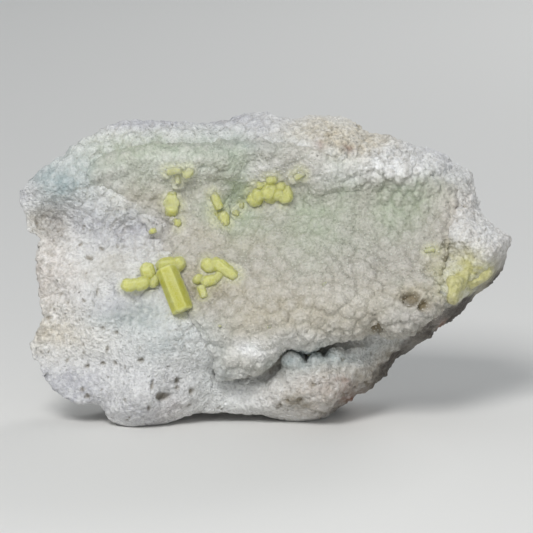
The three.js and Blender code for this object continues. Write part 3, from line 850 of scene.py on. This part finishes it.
def mineral(name, plain, crease, top, roughness, facet_depth, ior, grit=0.6, scatter=0.2):
    """Grain material: `plain` colour, painted shade in creases and painted light on dome tops."""
    made, tree = new_material(name)
    place = add(tree, "TexCoord").outputs["Object"]
    wander, speck, stains, grains = (
        add(tree, "TexNoise", {"Vector": place, "Scale": per_mm(size), "Detail": detail})
        for size, detail in ((WANDER, 5), (SPECK, 4), (STAIN, 6), (BLOTCH, 3))
    )
    spread = add(tree, "Math", {0: wander, 1: 1.2, 2: 0.4}, operation="MULTIPLY_ADD")
    stained, painted_summit_light, dark = (
        add(tree, "MapRange", {"Value": value, "From Min": low, "From Max": high, "To Max": most})
        for value, low, high, most in (
            (stains, 0.42, 0.75, 0.8), ("dome", 0.45, 0.95, 0.45), (grains, 0.46, 0.6, 0.4),
        )
    )
    # The dome layer is painted light on dome tops, and the crease layer is painted shade in the
    # creases
    layers = [
        *[(name, spread, shade) for name, shade in ZONE_COLOURS.items()],
        ("broken", stained, RUSTY), (painted_summit_light, 1, top), ("crease", 0.35, crease), ("rim", 1.5, RIM),
        ("pore", 0.95, PORE_CLAY_AND_LEDGE_SHADOW), ("halo", 0.45, PAINTED_HALO_LIGHT), ("coarse", dark, DARK_GRAIN),
    ]
    span = {"From Min": 0.3, "From Max": 0.7, "To Min": 0.87, "To Max": 1.09}
    shade = add(tree, "MapRange", {"Value": speck, **span})
    colour = painted(tree, linear(plain), layers)
    colour = add(tree, "VectorMath", {0: colour, "Scale": shade}, operation="SCALE")

    cells = add(tree, "TexVoronoi", {"Vector": place, "Scale": per_mm(GRAIN)})
    turned = add(
        tree, "VectorMath", {0: cells.outputs["Color"], 1: (0.5, 0.5, 0.5)}, operation="SUBTRACT"
    )
    plane = add(tree, "VectorMath", {0: turned, 1: place}, operation="DOT_PRODUCT")
    height = add(tree, "Math", {0: plane, 1: per_mm(1)}, operation="MULTIPLY")
    facets = add(tree, "Bump", {"Height": height, "Strength": facet_depth, "Distance": MM})
    gritty = add(
        tree, "Bump",
        {"Height": speck, "Strength": grit, "Distance": GRIT_DEPTH * MM, "Normal": facets},
    )
    bsdf = add(
        tree, "BsdfPrincipled",
        {
            "Base Color": colour, "Roughness": roughness, "IOR": ior, "Normal": gritty,
            "Subsurface Weight": scatter, "Subsurface Radius": (1, 1, 0.9),
            "Subsurface Scale": REACH * MM,
        },
    )
    add(tree, "OutputMaterial", {"Surface": bsdf})
    return made


# %% [markdown]
# The host rock is nearly white and dull. The crust is pale green and glossier, since its crystals
# have true faces. Both get painted shade in their creases and painted light on their dome tops.

# %% Rock and crust materials
rock.data.materials.append(
    mineral("sugary_host_rock", "#e6e6e4", "#96876b", "#f5f5f3", 0.6, 0.8, 1.55, grit=1.3)
)
crust.data.materials.append(
    mineral("crystal_crust", "#b3aea5", "#8c9280", "#d2cfc8", 0.42, 0.6, 1.5)
)
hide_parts("matrix")
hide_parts("green_crust")
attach(rock, "root")
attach(crust, "root")

# %% [markdown]
# ## Lemon crystals
#
# Ettringite grows as six-sided prisms, and what looks like one prism is often a bundle of them,
# nearly parallel and ending at slightly different heights. That gives the lines along a crystal
# and its stepped ends. A six-sided cylinder would show neither, so each prism is built ring by
# ring, and each crystal is a core with thinner prisms grown along it. A ray finds the surface
# that it lies on, and it is sunk into that, because it grew there.


# %% One prism
PER_SIDE = 3  # strips on each of the six sides, each a little deeper or shallower
STEP_DEPTH = 0.03  # depth of these growth steps, as a share of the crystal's radius
END_NARROWING = 4.2  # share of its width that an end loses, for each unit of bevel squared
END_STEPS = (0.35, 0.7, 0.9, 1)  # where the rings of an end stand, as shares of its height
ROW = 1.3  # mm between rings


def walls(count, rings):
    """Squares that join rings of `count` points each."""
    return [
        (low + k, low + (k + 1) % count, low + count + (k + 1) % count, low + count + k)
        for low in range(0, count * (rings - 1), count)
        for k in range(count)
    ]


def shifted(faces, start):
    """The same faces, for points that are numbered from `start`."""
    return [tuple(start + k for k in face) for face in faces]


def prism(length, width, thick, bevel, round_off, rng):
    """Points, faces and the painted edge light at each point, of one prism along z, in mm."""
    angles = np.arange(6) * math.pi / 3
    corners = np.column_stack([width / 2 * np.cos(angles), thick / math.sqrt(3) * np.sin(angles)])
    around, corner = [], []
    for n in range(6):
        for k in range(PER_SIDE):
            p = corners[n] + (corners[(n + 1) % 6] - corners[n]) * k / PER_SIDE
            oval = p / math.hypot(2 * p[0] / width, 2 * p[1] / thick)
            groove = 1 - STEP_DEPTH * rng.random() if k else 1
            around.append((p + (oval - p) * round_off) * groove)
            # Corners, and the rings of the ends, get painted light where light shines through the
            # edges
            corner.append(0.5 if k == 0 else 0)
    shoulder = length / 2 - bevel * width
    rows = np.linspace(-shoulder, shoulder, max(2, round(2 * shoulder / ROW)))
    rings = [(z, rng.uniform(0.985, 1.01), 0) for z in rows]
    for step in END_STEPS:
        z = shoulder + (length / 2 - shoulder) * step
        share = 1 - END_NARROWING * (bevel * step) ** 2
        rings = [(-z, share, step), *rings, (z, share, step)]
    points = np.array([(x * share, y * share, z) for z, share, _ in rings for x, y in around])
    painted_edge_light = np.array([max(end, at_corner) for _, _, end in rings for at_corner in corner])
    count = len(around)
    ends = [tuple(reversed(range(count))), tuple(range(len(points) - count, len(points)))]
    return points, walls(count, len(rings)) + ends, painted_edge_light


# %% A crystal is a bundle of prisms
CRISP_BEVEL, STUBBY_BEVEL = 0.14, 0.4
CORE = 0.94  # share of the crystal's width and thickness that its core takes
CORE_LENGTH = 0.95
BLADES_PER_MM = 0.9  # thin prisms for each mm of width
BLADE_PLACES = (0.7, 1.6)  # radians round from the face that looks outward


def bundle(length, width, thick, bevel, round_off, rng):
    """A core and the thinner prisms grown along it, as `prism` gives them."""
    points, faces, painted_edge_light = prism(
        CORE_LENGTH * length, CORE * width, CORE * thick, bevel, round_off, rng
    )
    for n in range(round(BLADES_PER_MM * width) if bevel > CRISP_BEVEL else 0):
        own_width = width * rng.uniform(0.4, 0.65)
        own_thick = thick * rng.uniform(0.5, 0.8)
        own_length = length * rng.uniform(0.5, 0.75)
        around = -math.pi / 2 + rng.choice([-1, 1]) * rng.uniform(*BLADE_PLACES)
        blade = prism(own_length, own_width, own_thick, bevel, round_off, rng)
        shape = blade[0] + (0, 0, rng.uniform(-0.6, 0.6) * (length - own_length) / 2)
        lean = Matrix.Rotation(math.radians(rng.uniform(-3, 3)), 3, "Y")
        shape = shape @ np.array(lean).T
        shape[:, 0] += (width - own_width) / 2 * math.cos(around)
        shape[:, 1] += (thick - own_thick) / 2 * math.sin(around)
        faces += shifted(blade[1], len(points))
        points = np.vstack([points, shape])
        painted_edge_light = np.concatenate([painted_edge_light, blade[2]])
    return points, faces, painted_edge_light


# %% Laying a prism on the specimen
bed_tree = tree_of("matrix", "green_crust")
VIEWER_OUT = 60  # mm out, in front of everything


def level(x, up):
    """How far out the surface lies at a place of the face, mm."""
    start = Vector(from_face((x, up, VIEWER_OUT))[0])
    hit = bed_tree.ray_cast(start, -OUTWARD)[0]
    return to_face([hit[:]])[0][2]


def laid(points, x, up, out, turn, tip):
    """A crystal's points, from its own frame to the frame of the specimen, in metres."""
    pose = Matrix.Rotation(math.radians(turn), 3, "Y") @ Matrix.Rotation(math.radians(-tip), 3, "X")
    across, inward, along = (points @ np.array(pose).T).T
    return from_face(np.column_stack([x + across, up + along, out - inward]))


def new_piece(name, points, faces):
    mesh = bpy.data.meshes.new(name)
    mesh.from_pydata(points, [], faces)
    return new_object(name, mesh)


# %% [markdown]
# Prisms that only overlap would keep their hidden walls, and light that scatters inside would
# stop at them and leave dark streaks. So each cluster is fused to one skin, as the real crystals
# are grown together. A boolean union is slow on so many thin solids. Each point of the new skin
# takes its values from the nearest place on the old prisms.


# %% Fusing the prisms of a cluster
CRYSTAL_VOXEL = 0.13
WAVY = 0.04  # mm that the fused faces wander in and out


def fuse(piece, points, faces, own_values):
    """Wraps a piece in one fine skin, and stores each crystal's own values on it."""
    fused = wrap(piece, CRYSTAL_VOXEL)
    old = BVHTree.FromPolygons([Vector(p) for p in points], faces)
    values = np.empty((len(fused.vertices), own_values.shape[1]))
    for n, p in enumerate(points_of(piece)):
        place, _, index, _ = old.find_nearest(Vector(p))
        corners = faces[index]
        shares = poly_3d_calc([Vector(points[k]) for k in corners], place)
        values[n] = np.array(shares) @ own_values[list(corners)]
    grain = fused.attributes.new("grain", "FLOAT_VECTOR", "POINT")
    grain.data.foreach_set("vector", values[:, :3].ravel())
    uneven = WAVY * (0.4 + 2.4 * values[:, 4])
    push(piece, uneven * fractal(points_of(piece) / MM, 1.1, 111, 2))
    store(piece, "painted_edge_light", values[:, 3])
    store(piece, "cloudy", values[:, 4])


# %% [markdown]
# Each row below is one crystal: its place on the face, length, width and thickness in mm, how far
# its axis turns clockwise from upright and its lower end tips toward the viewer, in degrees, how
# far its axis stands above the surface, and the bevel of its ends. They repeat the packed
# crystals, with a few small neighbours that make the outlines less bare.

# %% The crystals of each cluster
# x, up, length, width, thick, turn, tip, rise, bevel
CRYSTALS = {
    "main_cluster": [
        (-20.2, 31, 11, 5.1, 5.2, -22, 10, 1.8, 0.12),
        (-18.7, 31.2, 9.6, 2.3, 3.4, -22, 10, 1.5, 0.12),
        (-21.3, 32.2, 7.4, 2.2, 3.6, -21, 10, 1.8, 0.14),
        (-19.4, 28.4, 5, 1.6, 2.2, -24, 10, 2.1, 0.14),
        (-21.8, 36.2, 5.4, 4.2, 4.4, 84, 0, 1.3, 0.42),
        (-19.6, 36.4, 4.4, 3.4, 3.6, 35, 0, 1.1, 0.42),
        (-22.8, 36, 3.6, 3.2, 3.4, 120, 0, 1.2, 0.42),
        (-26.1, 34.9, 4.4, 3.4, 3.4, -18, -6, 2.8, 0.42),
        (-29.8, 32, 4.6, 2.9, 2.6, 84, 0, 2.3, 0.42),
        (-27.4, 32.2, 4.2, 3.1, 2.8, 66, 6, 2.6, 0.42),
        (-24.6, 32.8, 3.4, 2.4, 2.2, 30, 6, 1.8, 0.36),
    ],
    "right_cluster": [
        (-12.8, 36.2, 4, 3.4, 2.8, -36, 8, 1, 0.42),
        (-8.9, 35.2, 6.6, 3, 2.8, -52, 6, 0.9, 0.36),
        (-10.8, 36.3, 4.4, 3, 2.6, -58, 4, 1, 0.42),
        (-12.6, 32.9, 4.2, 2.7, 2.4, 75, 0, 0.7, 0.42),
        (-10.6, 33.9, 2.8, 2, 1.8, 50, 0, 0.6, 0.42),
        (-15, 33.3, 3, 2.2, 2, 60, 0, 0.7, 0.42),
        (-14.1, 30.5, 3.2, 2, 1.6, -18, 15, 1, 0.22),
    ],
    "upper_left_cluster": [
        (-20.4, 57, 3.8, 1.8, 1.8, 86, 0, 0.7, 0.2),
        (-19.6, 55.3, 2.8, 1.4, 1.4, -4, 4, 0.65, 0.2),
        (-17.3, 56.6, 3.2, 2.4, 2, 35, 0, 0.7, 0.38),
    ],
    "hexagonal_tablet": [
        (-21, 50, 3, 4, 4.2, 0, -98, 0.2, 0.14),
        (-20.9, 48.4, 3, 3.2, 2.8, 5, -50, 0.4, 0.2),
        (-20.9, 51.8, 1.8, 2.8, 1.8, 0, 10, 0.1, 0.3),
    ],
    "small_crystal_1": [
        (-19.6, 45.5, 2.2, 1.8, 1.6, 15, 0, 0.4, 0.4),
        (-20.2, 46.2, 1.2, 1.2, 1.2, 60, 0, 0.3, 0.4),
    ],
    "small_crystal_2": [
        (-25, 43.8, 2, 1.4, 1.4, 80, 0, 0.5, 0.4),
        (-25.6, 43.5, 1.2, 0.9, 0.9, 10, 0, 0.5, 0.4),
    ],
    "long_prisms": [
        (-11.3, 50.8, 5.4, 2.2, 1.8, -26, 4, 0.6, 0.3),
        (-9.5, 46.4, 4.4, 2.6, 2.2, -6, 4, 0.7, 0.42),
        (-11.4, 47.6, 4, 1.6, 1.4, -14, 0, 0.2, 0.24),
    ],
    "bead_1": [(-6.9, 47.8, 2, 1.8, 1.6, 20, 0, 0.5, 0.42)],
    "bead_2": [(-5.6, 49.5, 1.7, 1.2, 1.2, 0, 0, 0.5, 0.42)],
    "upper_right_cluster": [
        (-2.7, 50.7, 3.8, 3.6, 3, 24, 0, 0.9, 0.42),
        (-1.6, 52, 4, 3.6, 2.8, 55, 4, 1, 0.42),
        (0.5, 52.8, 4.8, 3.6, 2.8, 28, 0, 1, 0.36),
        (1, 51.4, 3.8, 3.2, 2.6, 60, 0, 0.7, 0.42),
        (2.2, 52.3, 4, 3.2, 2.6, -14, 0, 0.9, 0.4),
        (4, 52, 4.4, 3.4, 2.6, -8, 4, 0.7, 0.3),
        (3, 53.8, 2.6, 2.4, 2, 40, 0, 0.6, 0.4),
        (1.1, 55.1, 3, 2.1, 1.9, 75, 0, 0.7, 0.36),
        (-1.2, 54.2, 2.8, 1.8, 1.5, 60, 0, 0.6, 0.36),
    ],
    "pale_crystal": [(7.2, 56, 3.2, 1.8, 1.6, 65, 0, 0.5, 0.3)],
    "small_crystal_3": [(35.6, 39.6, 2.6, 1.3, 1.3, 80, 0, 0.6, 0.2)],
}
FLECKS = [
    (0.4, 22.9, 1.2, 0.7, 0.7, 70, 0, 0.3, 0.3), (-10.3, 23.1, 1, 0.7, 0.7, 20, 0, 0.3, 0.3),
    (12.5, 32.1, 1.3, 0.8, 0.8, 40, 0, 0.2, 0.3), (9.2, 16.6, 1, 0.6, 0.6, 80, 0, 0.2, 0.3),
]
ROUND_OFF = (0.2, 0.6)  # how far the six sides are rounded toward an oval, crisp and stubby
CLOUDY = (12, 50)  # length times width below which a crystal is cloudy, and above which it is not
SLACK = 0.2  # mm left out of the length, so that a prism stays in its packed outline


def crystals(name, rows, seed):
    """One piece of all the crystals of a cluster, with each one's own coordinates stored on it."""
    rng = np.random.default_rng(seed)
    points, faces, own_values = np.empty((0, 3)), [], np.empty((0, 5))
    for x, up, length, width, thick, turn, tip, rise, bevel in rows:
        round_off = np.interp(bevel, (CRISP_BEVEL, STUBBY_BEVEL), ROUND_OFF)
        own, own_faces, painted_edge_light = bundle(length - SLACK, width, thick, bevel, round_off, rng)
        faces += shifted(own_faces, len(points))
        points = np.vstack([points, laid(own, x, up, level(x, up) + rise, turn, tip)])
        cloudy = np.full(len(own), 1 - ease(length * width, *CLOUDY))
        values = np.column_stack([own + rng.uniform(0, 50, 3), painted_edge_light, cloudy])
        own_values = np.vstack([own_values, values])
    piece = new_piece(name + "_prisms", points, faces)
    fuse(piece, points, faces, own_values)
    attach(piece, "root")
    return piece


lemon_pieces = []
for seed, (name, rows) in enumerate(CRYSTALS.items(), 60):
    piece = crystals(name, rows, seed)
    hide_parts(name)
    lemon_pieces.append(piece)
flecks = crystals("yellow_fleck", FLECKS, 59)
print("crystals:", sum(len(rows) for rows in CRYSTALS.values()))

# %% [markdown]
# ## Lemon crystal finish
#
# The prisms are translucent, not clear: they are full of tiny cracks and liquid. Part of the
# light passes through and is tinted on the way, by absorption, and part scatters inside. Fine
# lines run along each prism. They are noise stretched along the crystal's own axis, which the
# stored coordinates give wherever the crystal points.

# %% Lemon crystal material
FROST = 0.38  # mm across the etched spots that dull the faces
LINE_SCALE = (3.2, 3.2, 0.16)  # lines about 0.3 mm wide and 6 mm long
ABSORBS = 250  # how strongly a metre of crystal would tint the light
CRYSTAL_REACH = 3.5  # mm that light travels inside a crystal


def lemon_crystal(name, body, pale, tint, clear, roughness):
    """Translucent crystal: `body` scatters, `pale` is cloudy and painted edge light, `tint`
    colours what passes.
    """
    made, tree = new_material(name)
    own = add(tree, "Attribute", attribute_name="grain").outputs["Vector"]
    along = add(tree, "VectorMath", {0: own, 1: LINE_SCALE}, operation="MULTIPLY")
    lines = add(tree, "TexNoise", {"Vector": along, "Scale": 1, "Detail": 3})
    veils = add(tree, "TexNoise", {"Vector": own, "Scale": 0.55, "Detail": 4})
    cloud = add(
        tree, "MapRange", {"Value": veils, "From Min": 0.45, "From Max": 0.7, "To Max": 0.4}
    )
    place = add(tree, "TexCoord").outputs["Object"]
    frost = add(tree, "TexNoise", {"Vector": place, "Scale": per_mm(FROST), "Detail": 3})
    rough = add(tree, "MapRange", {"Value": frost, "From Min": 0.42, "From Max": 0.65})
    share = add(tree, "Math", {0: "cloudy", 1: 0.4, 2: 0.2}, operation="MULTIPLY_ADD")
    etched_share = add(tree, "Math", {0: rough, 1: share}, operation="MULTIPLY")
    # Edges and ends are painted paler: painted light where light shines through the crystal
    pales = (("cloudy", 0.45), ("painted_edge_light", 0.75), (cloud, 1), (lines, 0.15), (etched_share, 1))
    colour = painted(tree, linear(body), [(value, most, pale) for value, most in pales])
    ridges = add(tree, "Bump", {"Height": lines, "Strength": 0.25, "Distance": 0.12 * MM})
    etched = add(
        tree, "Bump", {"Height": frost, "Strength": 0.7, "Distance": 0.15 * MM, "Normal": ridges}
    )
    bsdf = add(
        tree, "BsdfPrincipled",
        {
            "Base Color": colour, "Roughness": roughness, "IOR": 1.47, "Normal": etched,
            "Transmission Weight": clear, "Subsurface Weight": 0.9,
            "Subsurface Radius": (1, 1, 0.4), "Subsurface Scale": CRYSTAL_REACH * MM,
            "Sheen Weight": 0.4, "Sheen Roughness": 0.4, "Sheen Tint": linear(pale),
        },
    )
    depth = add(tree, "VolumeAbsorption", {"Color": linear(tint), "Density": ABSORBS})
    add(tree, "OutputMaterial", {"Surface": bsdf, "Volume": depth})
    return made


lemon = lemon_crystal("lemon_ettringite", "#c1bf22", "#e3e4a6", "#eaea62", 0.3, 0.42)
pale_lemon = lemon_crystal("pale_ettringite", "#dfe082", "#ebebbe", "#ecedb0", 0.4, 0.42)
PALE = (
    "pale_crystal_prisms", "upper_left_cluster_prisms", "yellow_fleck_prisms",
    "small_crystal_3_prisms",
)
for piece in [*lemon_pieces, flecks]:
    is_pale = piece.name in PALE
    piece.data.materials.append(pale_lemon if is_pale else lemon)

# %% [markdown]
# ## Mustard patch
#
# Near the right tip the ettringite is dull and cloudy, with no faces left on its crystals. It is
# wrapped in a fine skin as the rock is, and worn into low lumps.

# %% Mustard patch
patch = skin("mustard_patch", "yellow_patch", voxel=0.32, rounds=20, root=1)
face = to_face(points_of(patch))
lumps, lump_crease = domes(face, 1.3, 71)
push(patch, 0.2 * (lumps - 0.6) + 0.3 * fractal(face, 3, 73) - 0.25)
# dome and crease paint light on the lumps' tops and shade in their creases
store_all(patch, np.ones(len(face)), dome=lumps, crease=lump_crease)
patch.data.materials.append(
    mineral("dull_ettringite", "#c0bb84", "#98946a", "#d0ccaa", 0.5, 0.5, 1.48)
)
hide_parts("yellow_patch")
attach(patch, "root")

# %% [markdown]
# ## Tiny crystals
#
# All over the crust stand prisms of half a millimetre or less, whose flat ends sparkle. They are
# far too many for solids. One small template, repeated by array code with its own turn, tilt and
# size at each place, makes one mesh of them all. Instances would be lighter, but don't survive an
# export.

# %% Tiny crystals
TINY_SIDES = 6
TINY_RINGS = ((-0.4, 1), (0.75, 1), (1, 0.6))  # height and width, as shares


def tiny_crystals(name, carrier, spacing, seed, keep, width, length, tilt):
    """Short prisms scattered over a piece where `keep` is high, standing along its normals."""
    rng = np.random.default_rng(seed)
    points, normals = points_of(carrier), normals_of(carrier)
    chosen = scattered(points / MM, spacing, seed)
    chosen = chosen[rng.random(len(chosen)) < keep[chosen]]
    count = len(chosen)
    angles = np.arange(TINY_SIDES) * 2 * math.pi / TINY_SIDES
    ring = np.column_stack([np.cos(angles), np.sin(angles)]) / 2
    template = np.vstack(
        [np.column_stack([ring * share, np.full(TINY_SIDES, z)]) for z, share in TINY_RINGS]
    )
    top = tuple(range(len(template) - TINY_SIDES, len(template)))
    own_faces = walls(TINY_SIDES, len(TINY_RINGS)) + [top]

    axis = normals[chosen] + np.tan(math.radians(tilt)) * rng.normal(0, 0.5, (count, 3))
    axis /= np.linalg.norm(axis, axis=1)[:, None]
    side = np.cross(axis, rng.normal(0, 1, (count, 3)))
    side /= np.linalg.norm(side, axis=1)[:, None]
    wide = rng.uniform(*width, count)[:, None]
    long = rng.uniform(*length, count)[:, None]
    spans = np.stack([wide * side, wide * np.cross(axis, side), long * axis], axis=1)
    places = (points[chosen][:, None] + template @ spans * MM).reshape(-1, 3)
    faces = [
        face
        for start in range(0, len(places), len(template))
        for face in shifted(own_faces, start)
    ]
    piece = new_piece(name, places, faces)
    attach(piece, "root")
    print(name, "holds", count, "crystals")
    return piece


on_front = ease(facing_of(crust), -0.1, 0.2) * ease(sink, SINK, 0.3)
druse = tiny_crystals(
    "tiny_crystals", crust, spacing=0.8, seed=81, keep=0.9 * on_front,
    width=(0.2, 0.42), length=(0.06, 0.2), tilt=40,
)
everywhere = np.ones(len(druse.data.vertices))
# Every tiny crystal gets the same share of painted dome-top light
store_all(druse, everywhere, dome=0.6 * everywhere)
druse.data.materials.append(
    mineral("frosted_prism", "#c0c2b8", "#8d967f", "#d6d6cf", 0.3, 0.15, 1.5, scatter=0)
)

# %% [markdown]
# ## Floor and light
#
# A plain pale floor, a wide soft light above and a little to the left, and weak light from the
# front and from behind. Wide lights give soft shadows, which bring out low relief without hard
# edges.

# %% Studio
HALF_FLOOR = 6  # metres
FLOOR_CORNERS = ((-1, -1), (1, -1), (1, 1), (-1, 1))
floor = new_piece(
    "floor", [(x * HALF_FLOOR, y * HALF_FLOOR, 0) for x, y in FLOOR_CORNERS], [(0, 1, 2, 3)]
)
# Matt, uncoated paper: faintly cloudy, with no gloss
paper, tree = new_material("pale_paper")
fibres = add(tree, "TexNoise", {"Scale": per_mm(60), "Detail": 2})
whites = {A: linear("#dcdbd8"), B: linear("#e0dfdc")}
sheet = add(tree, "Mix", {0: fibres, **whites}, data_type="RGBA")
bsdf = add(tree, "BsdfPrincipled", {"Base Color": sheet, "Roughness": 0.8})
add(tree, "OutputMaterial", {"Surface": bsdf})
floor.data.materials.append(paper)


def softbox(name, place, size, power):
    """A square area light, `size` metres wide, aimed at the specimen."""
    lamp = bpy.data.lights.new(name, "AREA")
    lamp.size, lamp.energy = size, power
    aim(new_object(name, lamp), place)


softbox("overhead_softbox", (-0.2, -0.62, 0.64), 0.3, 5.7)
softbox("front_fill", (0.3, -1.05, 0.18), 0.8, 1.9)
softbox("back_fill", (0.5, 0.85, 0.5), 0.4, 3)
world = bpy.data.worlds.new("studio_air")
world.use_nodes = True
air = world.node_tree.nodes["Background"].inputs
air["Color"].default_value = (0.9, 0.95, 1, 1)
air["Strength"].default_value = 0.35
bpy.context.scene.world = world
bpy.context.scene.view_settings.view_transform = "Standard"
